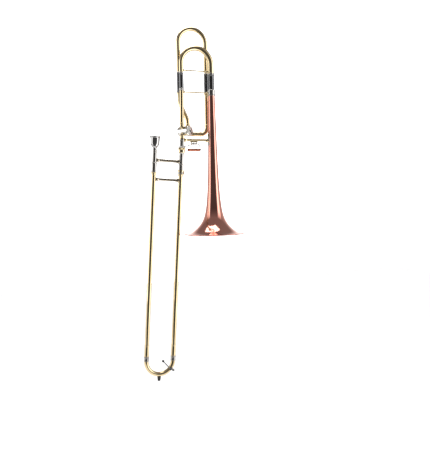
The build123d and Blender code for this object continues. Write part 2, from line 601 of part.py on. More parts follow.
with BuildPart() as slide_receiver:
    thread = (9.9, -1.4), (9.9, -12.0), (8.6, -14.0), (8.6, BARREL_TOP + SEAM)
    turn(LOWER, (7.34, -1.4), *thread, (7.34, BARREL_TOP + SEAM))
finish(slide_receiver, "slide_receiver")

with BuildPart() as mouthpiece_receiver:
    lip = (6.55, RECEIVER_TOP), (8.6, RECEIVER_TOP), (8.9, RECEIVER_TOP - 1), (8.9, RECEIVER_TOP - 5)
    body = (8.3, RECEIVER_TOP - 6), (8.3, BARREL_TOP + SEAM), (INNER_OUT + 0.1, BARREL_TOP + SEAM)
    step = (INNER_OUT + 0.1, INNER_TOP + 0.2), (5.85, INNER_TOP + 0.2)
    turn(UPPER, *lip, *body, *step)
finish(mouthpiece_receiver, "mouthpiece_receiver")

with BuildPart() as upper_inner_tube:
    pipe(UPPER, STOCKING_TOP, INNER_TOP, INNER_OUT, INNER_IN)
    pipe(UPPER, INNER_FOOT, STOCKING_TOP, STOCKING_OUT, INNER_IN)
finish(upper_inner_tube, "upper_inner_tube")

with BuildPart() as lower_inner_tube:
    pipe(LOWER, STOCKING_TOP, -24.0, INNER_OUT, INNER_IN)
    pipe(LOWER, INNER_FOOT, STOCKING_TOP, STOCKING_OUT, INNER_IN)
finish(lower_inner_tube, "lower_inner_tube")

with BuildPart() as cork_barrels:
    for leg in (UPPER, LOWER):
        shoulder = (INNER_OUT + 0.05, BARREL_TOP), (9.4, BARREL_TOP), (9.9, BARREL_TOP - 1)
        waist = (9.9, BARREL_TOP - 5), (9.4, BARREL_TOP - 6), (9.4, BARREL_FOOT + 4)
        skirt = (9.9, BARREL_FOOT + 3), (9.9, BARREL_FOOT)
        inside = (8.7, BARREL_FOOT), (8.7, BARREL_TOP - 12), (INNER_OUT + 0.05, BARREL_TOP - 12)
        turn(leg, *shoulder, *waist, *skirt, *inside)
finish(cork_barrels, "cork_barrels")

with BuildPart() as inner_grip_brace:
    start = LOWER.from_local_coords((-SLIDE_GAP, 0, INNER_BRACE))
    end = LOWER.from_local_coords((0, 0, INNER_BRACE))
    brace(start, end, GRIP_RADIUS, 7.2, (14, 5, 14))
    rod(start, end, GRIP_RADIUS - GRIP_WALL, mode=Mode.SUBTRACT)
    pipe(UPPER, -60, 0, 8.3 + SEAM, mode=Mode.SUBTRACT)
    pipe(LOWER, -60, 0, 8.6 + SEAM, mode=Mode.SUBTRACT)
finish(inner_grip_brace, "inner_grip_brace")

with BuildPart() as slide_lock_ring:
    turn(LOWER, (10.0, -72.0), (11.0, -72.0), (11.4, -73.0), (11.4, -78.0), (11.0, -79.0), (10.0, -79.0))
    with Locations(LOWER * Location((8.2, -8.2, -81.5), (0, 0, -45))):
        Box(1.6, 5.0, 11.0)
finish(slide_lock_ring, "slide_lock_ring")

with BuildPart() as mouthpiece:
    with BuildSketch(side_of(UPPER)):
        with BuildLine():
            rim_in = (13.2, MOUTHPIECE_TOP - 1.2)
            rim_top = (16.2, MOUTHPIECE_TOP)
            rim_out = (19.4, MOUTHPIECE_TOP - 2.6)
            rim_curve = ThreePointArc(rim_in, rim_top, rim_out)
            wall = Spline(rim_out, (16.9, 31.0), (16.2, 24.0), (15.2, 10.5), (11.6, 3.0), (7.6, -2.2))
            shank = Polyline(wall @ 1, (6.5, -4.2), (6.35, -5.5), (5.75, SHANK_FOOT), (5.0, SHANK_FOOT))
            bore = Polyline(shank @ 1, (3.3, 3.5), (3.6, 8.5))
            Spline(bore @ 1, (8.5, 15.5), (11.6, 25.5), (12.8, 33.5), rim_curve @ 0)
        make_face()
    revolve(axis=Axis(UPPER.origin, UPPER.z_dir))
finish(mouthpiece, "mouthpiece")

# --- Outer hand slide -------------------------------------------------------------------------------------

with BuildPart() as outer_slide_tubes:
    for leg in (UPPER, LOWER):
        pipe(leg, OVERSLEEVE_FOOT, OUTER_TOP, OUTER_OUT, OUTER_IN)
finish(outer_slide_tubes, "outer_slide_tubes")

with BuildPart() as outer_slide_collars:
    for leg in (UPPER, LOWER):
        lip = (OUTER_OUT + 0.05, BARREL_FOOT - 0.6), (9.8, BARREL_FOOT - 0.6), (10.2, BARREL_FOOT - 1.6)
        cone = (10.2, BARREL_FOOT - 3.6), (8.7, BARREL_FOOT - 8.0), (OUTER_OUT + 0.05, BARREL_FOOT - 8.5)
        turn(leg, *lip, *cone)
finish(outer_slide_collars, "outer_slide_collars")

with BuildPart() as outer_grip_brace:
    start = LOWER.from_local_coords((-SLIDE_GAP, 0, OUTER_BRACE))
    end = LOWER.from_local_coords((0, 0, OUTER_BRACE))
    brace(start, end, GRIP_RADIUS - 0.6, 6.8, (13, 5, 13))
    rod(start, end, GRIP_RADIUS - 0.6 - GRIP_WALL, mode=Mode.SUBTRACT)
    pipe(UPPER, -130, -90, OUTER_OUT + SEAM, mode=Mode.SUBTRACT)
    pipe(LOWER, -130, -90, OUTER_OUT + SEAM, mode=Mode.SUBTRACT)
finish(outer_grip_brace, "outer_grip_brace")

with BuildPart() as oversleeves:
    for leg in (UPPER, LOWER):
        edge = (OUTER_OUT + 0.05, OVERSLEEVE_FOOT), (8.8, OVERSLEEVE_FOOT), (8.8, OVERSLEEVE_TOP - 1)
        turn(leg, *edge, (8.4, OVERSLEEVE_TOP), (OUTER_OUT + 0.05, OVERSLEEVE_TOP))
finish(oversleeves, "oversleeves")

with BuildPart() as crook_ferrules:
    for leg in (UPPER, LOWER):
        lip = (MAIN_OUT + 0.4, OVERSLEEVE_FOOT - SEAM), (9.6, OVERSLEEVE_FOOT - 0.8)
        body = (9.6, OVERSLEEVE_FOOT - 4), (9.0, OVERSLEEVE_FOOT - 5), (9.0, CROOK_TOP + 3)
        turn(leg, *lip, *body, (9.4, CROOK_TOP + 2), (9.4, CROOK_TOP), (MAIN_OUT + 0.4, CROOK_TOP))
finish(crook_ferrules, "crook_ferrules")

gap_half = SLIDE_GAP / 2


def on_slide(x, z, y=0.0):
    """A point of the hand slide's own frame, x from the lower tube and z from the receiver."""
    return LOWER.from_local_coords((x, y, z))


with BuildPart() as slide_crook:
    crook_corners = [on_slide(-SLIDE_GAP, CROOK_TOP - gap_half), on_slide(0, CROOK_TOP - gap_half)]
    crook_ends = [on_slide(-SLIDE_GAP, OVERSLEEVE_FOOT - 0.3), on_slide(0, OVERSLEEVE_FOOT - 0.3)]
    crook_route = [crook_ends[0], *crook_corners, crook_ends[1]]
    bent_pipe(crook_route, [gap_half - 0.01] * 2, CROOK_TUBE, MAIN_IN - 0.1)
finish(slide_crook, "slide_crook")

crook_low = CROOK_TOP - gap_half - CROOK_TUBE
BUMPER = Plane(origin=on_slide(-gap_half, crook_low), x_dir=slide_right, z_dir=slide_up * -1)

with BuildPart() as rubber_bumper:
    collar = (6.4, -1.4), (6.4, 2.0), (5.9, 3.0), (5.8, 6.0)
    turn(BUMPER, (0, -1.4), *collar, (4.5, BUMPER_LENGTH - 1), (3.6, BUMPER_LENGTH), (0, BUMPER_LENGTH))
    crook_plane = Plane(origin=on_slide(-gap_half, CROOK_TOP), x_dir=slide_right, z_dir=(0, -1, 0))
    with Locations(crook_plane.location):
        Torus(gap_half, CROOK_TUBE + 0.05, mode=Mode.SUBTRACT)
finish(rubber_bumper, "rubber_bumper")

# --- Water key --------------------------------------------------------------------------------------------

out_way = slide_right * cos(radians(KEY_ANGLE)) - slide_up * sin(radians(KEY_ANGLE))
key_centre = on_slide(-gap_half, CROOK_TOP)
key_tangent = slide_right * sin(radians(KEY_ANGLE)) + slide_up * cos(radians(KEY_ANGLE))
seat_top = gap_half + CROOK_TUBE


def at_key(radial, y=0.0, along=0.0):
    """A point by the water key: radial from the crook's centre, y across it, along its tube."""
    return key_centre + out_way * radial + Vector(0, y, 0) + key_tangent * along


with BuildPart() as water_key_seat:
    rod(at_key(seat_top - 1.5), at_key(seat_top + 3.0), 3.4)
    rod(at_key(gap_half, -CROOK_TUBE + 0.6), at_key(gap_half, -CROOK_TUBE - 1.2), 5.4)
    for along in (-4.4, 4.4):
        ear = Plane(origin=at_key(gap_half, -10.6, along), x_dir=out_way, z_dir=key_tangent)
        with Locations(ear.location):
            Box(5.0, 6.4, 1.6)
    with Locations(Plane(origin=key_centre, x_dir=slide_right, z_dir=(0, -1, 0)).location):
        Torus(gap_half, CROOK_TUBE + 0.04, mode=Mode.SUBTRACT)
    rod(at_key(gap_half + 4), at_key(seat_top + 4.0), 2.0, mode=Mode.SUBTRACT)
    rod(at_key(gap_half, KEY_Y, -6.4), at_key(gap_half, KEY_Y, 6.4), KEY_PIN)
finish(water_key_seat, "water_key_seat")

with BuildPart() as water_key:
    rod(at_key(gap_half, KEY_Y, -3.3), at_key(gap_half, KEY_Y, 0.6), 2.3)
    lever_start = at_key(gap_half - 1.5, KEY_Y - 2)
    lever_bend = at_key(gap_half - 16, KEY_Y - 2, 1.5)
    lever_end = at_key(gap_half - KEY_LEVER, KEY_Y + 3, 6)
    bent_pipe([lever_start, lever_bend, lever_end], [20], LEVER_WIRE)
    with Locations(Plane(origin=lever_end, x_dir=out_way, z_dir=(0, -1, 0)).location):
        Cylinder(4.2, 1.8)
    reach = seat_top + 6.6
    arm_start = at_key(gap_half + 1.5, KEY_Y - 2)
    bent_pipe([arm_start, at_key(reach, KEY_Y - 2), at_key(reach, 0)], [6], LEVER_WIRE)
    rod(at_key(seat_top + 4.6), at_key(seat_top + 7.4), 4.4)
    rod(at_key(gap_half, KEY_Y, -8), at_key(gap_half, KEY_Y, 8), KEY_PIN + RUNNING, mode=Mode.SUBTRACT)
finish(water_key, "water_key")

with BuildPart() as water_key_cork:
    rod(at_key(seat_top + 3.3), at_key(seat_top + 4.5), 3.8)
finish(water_key_cork, "water_key_cork")

with BuildPart() as water_key_spring:
    rod(at_key(gap_half, KEY_Y, 1.9), at_key(gap_half, KEY_Y, 3.4), 2.0)
    rod(at_key(gap_half, KEY_Y, -9), at_key(gap_half, KEY_Y, 9), 1.15, mode=Mode.SUBTRACT)
finish(water_key_spring, "water_key_spring")
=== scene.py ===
"""A tenor trombone with an F valve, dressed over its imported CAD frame. Lengths are in metres."""

import json
from math import cos, pi, radians, sin, tan

import bmesh
import bpy
from mathutils import Matrix, Vector


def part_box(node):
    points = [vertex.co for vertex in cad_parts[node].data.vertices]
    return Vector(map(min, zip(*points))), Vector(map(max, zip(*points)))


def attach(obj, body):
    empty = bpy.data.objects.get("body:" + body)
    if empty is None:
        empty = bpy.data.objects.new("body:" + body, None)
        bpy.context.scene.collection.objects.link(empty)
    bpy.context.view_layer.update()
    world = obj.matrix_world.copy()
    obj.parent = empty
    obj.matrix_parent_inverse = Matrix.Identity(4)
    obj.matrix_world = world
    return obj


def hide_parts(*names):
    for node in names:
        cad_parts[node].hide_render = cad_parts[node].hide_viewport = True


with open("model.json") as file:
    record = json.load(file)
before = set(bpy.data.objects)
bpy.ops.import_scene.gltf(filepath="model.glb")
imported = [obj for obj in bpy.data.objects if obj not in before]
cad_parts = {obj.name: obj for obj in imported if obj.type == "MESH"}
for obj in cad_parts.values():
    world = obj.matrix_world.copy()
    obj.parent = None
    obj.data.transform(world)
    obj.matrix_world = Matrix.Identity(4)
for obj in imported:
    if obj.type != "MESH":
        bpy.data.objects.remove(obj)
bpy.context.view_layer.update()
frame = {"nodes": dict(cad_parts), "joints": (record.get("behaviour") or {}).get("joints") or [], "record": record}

MM = 0.001
UP = Vector((0, 0, 1))
BODY_OF = {node: body for body, nodes in frame["record"]["behaviour"]["bodies"].items() for node in nodes}
SLOT_OF = {part["node"]: part["material_slot"] for part in frame["record"]["subparts"]}
JOINTS = {joint["name"]: joint for joint in frame["joints"]}


# --- Places, read from the frame ----------------------------------------------------------------------------


def shaft(origin, along, side=Vector((1, 0, 0))):
    """A matrix whose Z runs along a direction, and whose X is as near to side as that allows."""
    z = Vector(along).normalized()
    x = (Vector(side) - z * z.dot(Vector(side))).normalized()
    y = z.cross(x)
    turn = Matrix((x, y, z)).transposed().to_4x4()
    turn.translation = Vector(origin)
    return turn


def middle(node):
    low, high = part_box(node)
    return (low + high) / 2


slide_up = -Vector(JOINTS["outer_slide"]["axis"]).normalized()
slide_foot = Vector(JOINTS["slide_swivel"]["pos_m"])
slide_right = Vector((slide_up.z, 0, -slide_up.x))
SLIDE_GAP = 95 * MM
LOWER = shaft(slide_foot, slide_up, slide_right)
UPPER = shaft(slide_foot - slide_right * SLIDE_GAP, slide_up, slide_right)
BELL = Matrix.Identity(4)
SMALL_X = middle("small_slide_sleeve").x
SMALL = Matrix.Translation((SMALL_X, 0, 0))
f_low, f_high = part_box("f_slide_sleeves")
F_Y = (f_low.y + f_high.y) / 2
F_SLEEVE_OUT = 8.9 * MM
F_LEFT_X = f_low.x + F_SLEEVE_OUT
F_RIGHT_X = f_high.x - F_SLEEVE_OUT
F_LEFT = Matrix.Translation((F_LEFT_X, F_Y, 0))
F_RIGHT = Matrix.Translation((F_RIGHT_X, F_Y, 0))
valve_centre = Vector(JOINTS["rotor_turn"]["pos_m"])
valve_axis = Vector(JOINTS["rotor_turn"]["axis"]).normalized()
valve_side = Vector((-valve_axis.y, valve_axis.x, 0))
VALVE = shaft(valve_centre, valve_axis, valve_side)


# --- Mesh helpers -------------------------------------------------------------------------------------------

SHARP = radians(38)


def new_object(name, mesh):
    piece = bpy.data.objects.new(name, mesh)
    bpy.context.scene.collection.objects.link(piece)
    return piece


def from_rings(name, rings, closed=False):
    """A skin over rings of points. A ring of one point is a pole. closed joins the last ring to the first."""
    mesh = bpy.data.meshes.new(name)
    build = bmesh.new()
    rows = [[build.verts.new(point) for point in ring] for ring in rings]
    pairs = list(zip(rows, rows[1:]))
    if closed:
        pairs.append((rows[-1], rows[0]))
    for low, high in pairs:
        count = max(len(low), len(high))
        for k in range(count):
            corners = [low[k % len(low)], low[(k + 1) % len(low)]]
            corners += [high[(k + 1) % len(high)], high[k % len(high)]]
            unique = list(dict.fromkeys(corners))
            if len(unique) > 2:
                build.faces.new(unique)
    bmesh.ops.recalc_face_normals(build, faces=build.faces)
    build.to_mesh(mesh)
    build.free()
    mesh.shade_smooth()
    mesh.set_sharp_from_angle(angle=SHARP)
    return new_object(name, mesh)


SAME_PLACE = 1e-9
ON_AXIS = 1e-7
LEAST_TURN = radians(12)
MOST_CUT = 0.45
CORNER_STEPS = 4


def soften(outline, radius, closed=True):
    """The outline with its corners rounded, apart from those on the axis and those that hardly turn."""
    if radius <= 0:
        return list(outline)
    points = [Vector(p) for p in outline]
    count = len(points)
    soft = []
    for k, corner in enumerate(points):
        if not closed and k in (0, count - 1):
            soft.append(tuple(corner))
            continue
        before = points[k - 1] - corner
        after = points[(k + 1) % count] - corner
        if corner.x < ON_AXIS or before.length < SAME_PLACE or after.length < SAME_PLACE:
            soft.append(tuple(corner))
            continue
        turn = pi - before.angle(after)
        if turn < LEAST_TURN:
            soft.append(tuple(corner))
            continue
        cut = min(radius * tan(turn / 2), before.length * MOST_CUT, after.length * MOST_CUT)
        start = corner + before.normalized() * cut
        end = corner + after.normalized() * cut
        for step in range(CORNER_STEPS + 1):
            t = step / CORNER_STEPS
            point = start * (1 - t) ** 2 + corner * 2 * t * (1 - t) + end * t**2
            soft.append(tuple(point))
    return soft


POINTS_PER_KNURL = 6


def lathe(name, base, outline, round_by, segments, closed, ripple):
    """A turned piece from (radius, height) corners.

    ripple is None, or (low, high, count, depth, least) for knurls cut where the radius is above least.
    """
    profile = soften(outline, round_by, closed)
    if ripple:
        lowest, highest, count, depth, least = ripple
        segments = count * POINTS_PER_KNURL
    rings = []
    for radius, height in profile:
        if radius < ON_AXIS:
            rings.append([base @ Vector((0, 0, height))])
            continue
        knurled = ripple and lowest <= height <= highest and radius > least
        ring = []
        for k in range(segments):
            angle = 2 * pi * k / segments
            r = radius
            if knurled:
                r -= depth * (0.5 - 0.5 * cos(angle * count))
            ring.append(base @ Vector((r * cos(angle), r * sin(angle), height)))
        rings.append(ring)
    return from_rings(name, rings, closed)


def sweep(name, points, outer, inner=0.0, segments=64):
    """A tube along points. outer and inner may be numbers or functions of the share of the length."""
    points = [Vector(p) for p in points]
    lengths = [0.0]
    for a, b in zip(points, points[1:]):
        lengths.append(lengths[-1] + (b - a).length)
    headings = []
    for k in range(len(points)):
        a = points[max(0, k - 1)]
        b = points[min(len(points) - 1, k + 1)]
        headings.append((b - a).normalized())
    side = headings[0].orthogonal().normalized()
    size = outer if callable(outer) else lambda t: outer
    hole = inner if callable(inner) else lambda t: inner
    skin, lining = [], []
    for k, point in enumerate(points):
        if k:
            side = (headings[k - 1].rotation_difference(headings[k])) @ side
        side = (side - headings[k] * side.dot(headings[k])).normalized()
        other = headings[k].cross(side)
        t = lengths[k] / lengths[-1]
        angles = [2 * pi * j / segments for j in range(segments)]
        ring = [side * cos(angle) + other * sin(angle) for angle in angles]
        skin.append([point + v * size(t) for v in ring])
        lining.append([point + v * hole(t) for v in ring])
    if hole(0.0) > 0:
        return from_rings(name, skin + lining[::-1], closed=True)
    return from_rings(name, [[points[0]]] + skin + [[points[-1]]])


COIL_STEPS = 24


def helix(name, base, radius, low, high, turns, wire):
    """A coil spring about the base's Z."""
    points = []
    count = turns * COIL_STEPS
    for k in range(count + 1):
        angle = 2 * pi * k / COIL_STEPS
        rise = low + (high - low) * k / count
        points.append(base @ Vector((radius * cos(angle), radius * sin(angle), rise)))
    return sweep(name, points, wire, segments=10)


def box_piece(name, base, size, round_by):
    """A block with rounded edges, centred on the base."""
    mesh = bpy.data.meshes.new(name)
    build = bmesh.new()
    bmesh.ops.create_cube(build, size=1.0)
    for vert in build.verts:
        vert.co = Vector((vert.co.x * size[0], vert.co.y * size[1], vert.co.z * size[2]))
    bmesh.ops.bevel(build, geom=list(build.edges), offset=round_by, segments=3, profile=0.5, affect="EDGES")
    for vert in build.verts:
        vert.co = base @ vert.co
    build.to_mesh(mesh)
    build.free()
    mesh.shade_smooth()
    mesh.set_sharp_from_angle(angle=SHARP)
    return new_object(name, mesh)


def join(name, pieces):
    """One piece from several."""
    build = bmesh.new()
    for piece in pieces:
        build.from_mesh(piece.data)
        bpy.data.objects.remove(piece)
    mesh = bpy.data.meshes.new(name)
    build.to_mesh(mesh)
    build.free()
    return new_object(name, mesh)


def carve(piece, cutters):
    """piece with the cutters' shapes taken out."""
    for cutter in cutters:
        cut = piece.modifiers.new("cut", "BOOLEAN")
        cut.operation = "DIFFERENCE"
        cut.solver = "EXACT"
        cut.object = cutter
    bpy.context.view_layer.update()
    result = bpy.data.meshes.new_from_object(piece.evaluated_get(bpy.context.evaluated_depsgraph_get()))
    piece.modifiers.clear()
    piece.data = result
    result.set_sharp_from_angle(angle=SHARP)
    for cutter in cutters:
        bpy.data.objects.remove(cutter)
    return piece


# --- Materials ----------------------------------------------------------------------------------------------


COAT_ROUGHNESS = 0.04
GRAIN_SCALE = 900.0
SMUDGE_SCALE = 55.0
METAL_RELIEF = 0.0004
WEAR = 0.35
ALONG_Z = (1, 1, 0.02)
ALONG_X = (1, 0.03, 0.03)
ROUND_Z = (0.03, 0.03, 1)


def metal(name, light, deep, rough, lines=ALONG_Z, coat=0.0, cloud_scale=14.0, bump=0.004):
    """Polished metal: clouds of colour from light to deep, fine drawing lines and faint handling marks."""
    material = bpy.data.materials.new(name)
    material.use_nodes = True
    nodes = material.node_tree.nodes
    links = material.node_tree.links
    shader = nodes["Principled BSDF"]
    shader.inputs["Metallic"].default_value = 1.0
    shader.inputs["Coat Weight"].default_value = coat
    shader.inputs["Coat Roughness"].default_value = COAT_ROUGHNESS
    place = nodes.new("ShaderNodeTexCoord")
    cloud = nodes.new("ShaderNodeTexNoise")
    cloud.inputs["Scale"].default_value = cloud_scale
    cloud.inputs["Detail"].default_value = 5.0
    cloud.inputs["Roughness"].default_value = 0.6
    links.new(place.outputs["Object"], cloud.inputs["Vector"])
    tint = nodes.new("ShaderNodeValToRGB")
    tint.color_ramp.elements[0].position = 0.32
    tint.color_ramp.elements[0].color = (*deep, 1)
    tint.color_ramp.elements[1].position = 0.62
    tint.color_ramp.elements[1].color = (*light, 1)
    links.new(cloud.outputs["Fac"], tint.inputs["Fac"])
    links.new(tint.outputs["Color"], shader.inputs["Base Color"])
    stretch = nodes.new("ShaderNodeMapping")
    stretch.inputs["Scale"].default_value = lines
    links.new(place.outputs["Object"], stretch.inputs["Vector"])
    grain = nodes.new("ShaderNodeTexNoise")
    grain.inputs["Scale"].default_value = GRAIN_SCALE
    grain.inputs["Detail"].default_value = 3.0
    links.new(stretch.outputs["Vector"], grain.inputs["Vector"])
    smudge = nodes.new("ShaderNodeTexNoise")
    smudge.inputs["Scale"].default_value = SMUDGE_SCALE
    smudge.inputs["Detail"].default_value = 6.0
    links.new(place.outputs["Object"], smudge.inputs["Vector"])
    blend = nodes.new("ShaderNodeMath")
    blend.operation = "MULTIPLY"
    links.new(grain.outputs["Fac"], blend.inputs[0])
    links.new(smudge.outputs["Fac"], blend.inputs[1])
    gloss = nodes.new("ShaderNodeMapRange")
    gloss.inputs["From Min"].default_value = 0.1
    gloss.inputs["From Max"].default_value = 0.5
    gloss.inputs["To Min"].default_value = rough * (1 - WEAR)
    gloss.inputs["To Max"].default_value = rough * (1 + WEAR)
    links.new(blend.outputs["Value"], gloss.inputs["Value"])
    links.new(gloss.outputs["Result"], shader.inputs["Roughness"])
    relief = nodes.new("ShaderNodeBump")
    relief.inputs["Strength"].default_value = bump
    relief.inputs["Distance"].default_value = METAL_RELIEF
    links.new(grain.outputs["Fac"], relief.inputs["Height"])
    links.new(relief.outputs["Normal"], shader.inputs["Normal"])
    return material


DULL_RELIEF = 0.0005


def dull(name, light, deep, rough, scale, bump):
    """Rubber, cork or felt: a mottled, bumpy, unpolished surface."""
    material = bpy.data.materials.new(name)
    material.use_nodes = True
    nodes = material.node_tree.nodes
    links = material.node_tree.links
    shader = nodes["Principled BSDF"]
    shader.inputs["Roughness"].default_value = rough
    place = nodes.new("ShaderNodeTexCoord")
    noise = nodes.new("ShaderNodeTexNoise")
    noise.inputs["Scale"].default_value = scale
    noise.inputs["Detail"].default_value = 6.0
    links.new(place.outputs["Object"], noise.inputs["Vector"])
    tint = nodes.new("ShaderNodeValToRGB")
    tint.color_ramp.elements[0].position = 0.35
    tint.color_ramp.elements[0].color = (*deep, 1)
    tint.color_ramp.elements[1].position = 0.65
    tint.color_ramp.elements[1].color = (*light, 1)
    links.new(noise.outputs["Fac"], tint.inputs["Fac"])
    links.new(tint.outputs["Color"], shader.inputs["Base Color"])
    relief = nodes.new("ShaderNodeBump")
    relief.inputs["Strength"].default_value = bump
    relief.inputs["Distance"].default_value = DULL_RELIEF
    links.new(noise.outputs["Fac"], relief.inputs["Height"])
    links.new(relief.outputs["Normal"], shader.inputs["Normal"])
    return material


ROSE = metal("rose_brass_polish", (0.80, 0.37, 0.29), (0.73, 0.31, 0.24), 0.09, ROUND_Z, coat=0.3)
BRASS = metal("yellow_brass_polish", (0.80, 0.66, 0.41), (0.70, 0.55, 0.31), 0.08, coat=0.3)
NICKEL = metal("nickel_silver_polish", (0.52, 0.50, 0.47), (0.42, 0.40, 0.38), 0.10)
# Brass for the grip braces with a darker, more mottled base colour.
GRIP = metal("dark_grip_brass", (0.50, 0.44, 0.34), (0.27, 0.24, 0.20), 0.12, cloud_scale=40.0)
# Painted shade: nickel silver with a base colour far darker than NICKEL, so these parts look shaded under any
# light.
SHADED_NICKEL = metal("shaded_nickel_silver", (0.20, 0.20, 0.20), (0.12, 0.12, 0.125), 0.12)
# Painted highlight: nickel silver with a base colour far brighter than NICKEL, so the valve looks lit under any
# light.
LIT_NICKEL = metal("lit_valve_nickel", (0.86, 0.84, 0.79), (0.76, 0.74, 0.69), 0.08)
SILVER = metal("silver_plate_polish", (0.95, 0.93, 0.90), (0.86, 0.84, 0.81), 0.07, ROUND_Z)
PLATE = metal("mouthpiece_plate", (0.50, 0.49, 0.48), (0.38, 0.375, 0.37), 0.08, ROUND_Z)
STEEL = metal("bright_steel", (0.62, 0.62, 0.62), (0.50, 0.50, 0.51), 0.22, bump=0.05)
COPPER = metal("copper_roller", (0.74, 0.33, 0.23), (0.60, 0.22, 0.14), 0.30, ALONG_X, bump=0.06)
RUBBER = dull("bumper_rubber", (0.035, 0.034, 0.033), (0.015, 0.015, 0.015), 0.55, 420.0, 0.35)
CORK = dull("pad_cork", (0.58, 0.38, 0.21), (0.34, 0.20, 0.10), 0.9, 900.0, 0.6)
SKIN = {
    "rose_brass": ROSE, "yellow_brass": BRASS, "nickel_silver": NICKEL, "silver_plate": SILVER,
    "steel": STEEL, "copper_red": COPPER, "black_rubber": RUBBER, "cork": CORK,
}
FINISH = {"inner_grip_brace": GRIP, "outer_grip_brace": GRIP, "mouthpiece": PLATE}
# Painted highlight on the valve casing, front cap and rear plate: the brightened nickel silver copy.
FINISH |= dict.fromkeys(("valve_casing", "valve_front_cap", "valve_rear_plate"), LIT_NICKEL)
# Painted shade on the slide sleeves, tuning legs, F sleeves, lever, water key and rotor: the darkened nickel
# silver copy.
FINISH |= dict.fromkeys(("small_slide_sleeve", "large_slide_sleeve", "tuning_slide_legs"), SHADED_NICKEL)
FINISH |= dict.fromkeys(("f_slide_sleeves", "f_tuning_legs"), SHADED_NICKEL)
FINISH |= dict.fromkeys(("thumb_lever", "water_key", "valve_rotor"), SHADED_NICKEL)


def paint(piece, material):
    piece.data.materials.clear()
    piece.data.materials.append(material)


def finish_of(node):
    """The material of a CAD node: its own finish, or the one of its slot."""
    return FINISH.get(node, SKIN[SLOT_OF[node]])


def dress(piece, node):
    """The piece stands for a CAD node: it rides on the node's body and takes its finish."""
    paint(piece, finish_of(node))
    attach(piece, BODY_OF[node])
    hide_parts(node)
    return piece


for node, item in frame["nodes"].items():
    paint(item, finish_of(node))

# --- Turned and swept pieces over the CAD -------------------------------------------------------------------


def span(node, base):
    """The lowest and highest height of a CAD node along a shaft, in millimetres."""
    item = frame["nodes"][node]
    heights = [(base.inverted() @ item.matrix_world @ vert.co).z / MM for vert in item.data.vertices]
    return min(heights), max(heights)


def in_metres(outline):
    return [(radius * MM, height * MM) for radius, height in outline]


def turned(base, *outline, round_by=0.3, segments=96, ripple=None, closed=True):
    """A turned piece from (radius, height) corners in millimetres."""
    if ripple:
        low, high, count, depth, least = ripple
        ripple = (low * MM, high * MM, count, depth * MM, least * MM)
    return lathe("turned", base, in_metres(outline), round_by * MM, segments, closed, ripple)


def dress_turned(node, bases, outline, **options):
    """One turned outline on each shaft, standing for a CAD node."""
    pieces = [turned(base, *outline, **options) for base in bases]
    return dress(join("look_" + node, pieces), node)


EDGE_IN, EDGE_UP = 0.25, 0.4
BEAD_CREST = 0.4


def beaded(outer, inner, low, high, beads, bead, half):
    """A sleeve with rolled beads, bead proud and half high on each side of the given heights."""
    outline = [(inner, low), (outer - EDGE_IN, low), (outer, low + EDGE_UP)]
    crest = half * BEAD_CREST
    for height in beads:
        outline += [(outer, height - half), (outer + bead, height - crest)]
        outline += [(outer + bead, height + crest), (outer, height + half)]
    return outline + [(outer, high - EDGE_UP), (outer - EDGE_IN, high), (inner, high)]


def smooth(points, per_span=10):
    """Points along a smooth curve through the given ones."""
    points = [Vector(p) for p in points]
    curve = []
    for k in range(len(points) - 1):
        a = points[max(0, k - 1)]
        b, c = points[k], points[k + 1]
        d = points[min(len(points) - 1, k + 2)]
        first = (c - b).length ** 0.5
        before = max(1e-6, (b - a).length ** 0.5)
        after = max(1e-6, (d - c).length ** 0.5)
        leave = arrive = c - b
        if k > 0:
            leave = ((b - a) / before - (c - a) / (before + first) + (c - b) / first) * first
        if k < len(points) - 2:
            arrive = ((c - b) / first - (d - b) / (first + after) + (d - c) / after) * first
        for step in range(per_span):
            t = step / per_span
            place = b * (2 * t**3 - 3 * t**2 + 1) + leave * (t**3 - 2 * t**2 + t)
            curve.append(place + c * (3 * t**2 - 2 * t**3) + arrive * (t**3 - t**2))
    return [tuple(p) for p in curve] + [tuple(points[-1])]


# Bell, with a rolled rim bead
FLARE = [(104.3, 1.4), (98.2, 3.0), (88.5, 6.0), (78.0, 11.0), (67.6, 19.0), (56.8, 29.0), (44.4, 44.0)]
FLARE += [(33.6, 69.0), (27.2, 104.0), (22.2, 157.5), (18.7, 229.0), (16.6, 299.6), (15.0, 371.0)]
BELL_WALL = 0.6
BELL_EDGE = (106.4, 1.0)
THROAT_RADIUS = 12.2
EASING_PASSES = 40
outside = smooth([BELL_EDGE] + FLARE + [(THROAT_RADIUS, span("bell", BELL)[1])])
for _ in range(EASING_PASSES):
    eased = [((a[0] + 2 * b[0] + c[0]) / 4, (a[1] + 2 * b[1] + c[1]) / 4)
             for a, b, c in zip(outside, outside[1:], outside[2:])]
    outside = [outside[0]] + eased + [outside[-1]]
inside = []
for k, (radius, height) in enumerate(outside):
    ahead = Vector(outside[min(k + 1, len(outside) - 1)]) - Vector(outside[max(0, k - 1)])
    across = Vector((-ahead.y, ahead.x)).normalized() * BELL_WALL
    inside.append((radius + across.x, height + across.y))
if inside[-1][0] > outside[-1][0]:
    inside = [(2 * r - i, 2 * h - j) for (r, h), (i, j) in zip(outside, inside)]
bell = turned(BELL, *outside, *inside[::-1], round_by=0, segments=192)
dress(bell, "bell")
RIM_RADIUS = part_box("bell_rim_wire")[1].x / MM
WIRE = 1.8
around = [k * pi / 12 for k in range(24)]
bead = [(RIM_RADIUS - WIRE + WIRE * cos(a), WIRE + WIRE * sin(a)) for a in around]
dress_turned("bell_rim_wire", [BELL], bead, round_by=0, segments=192)

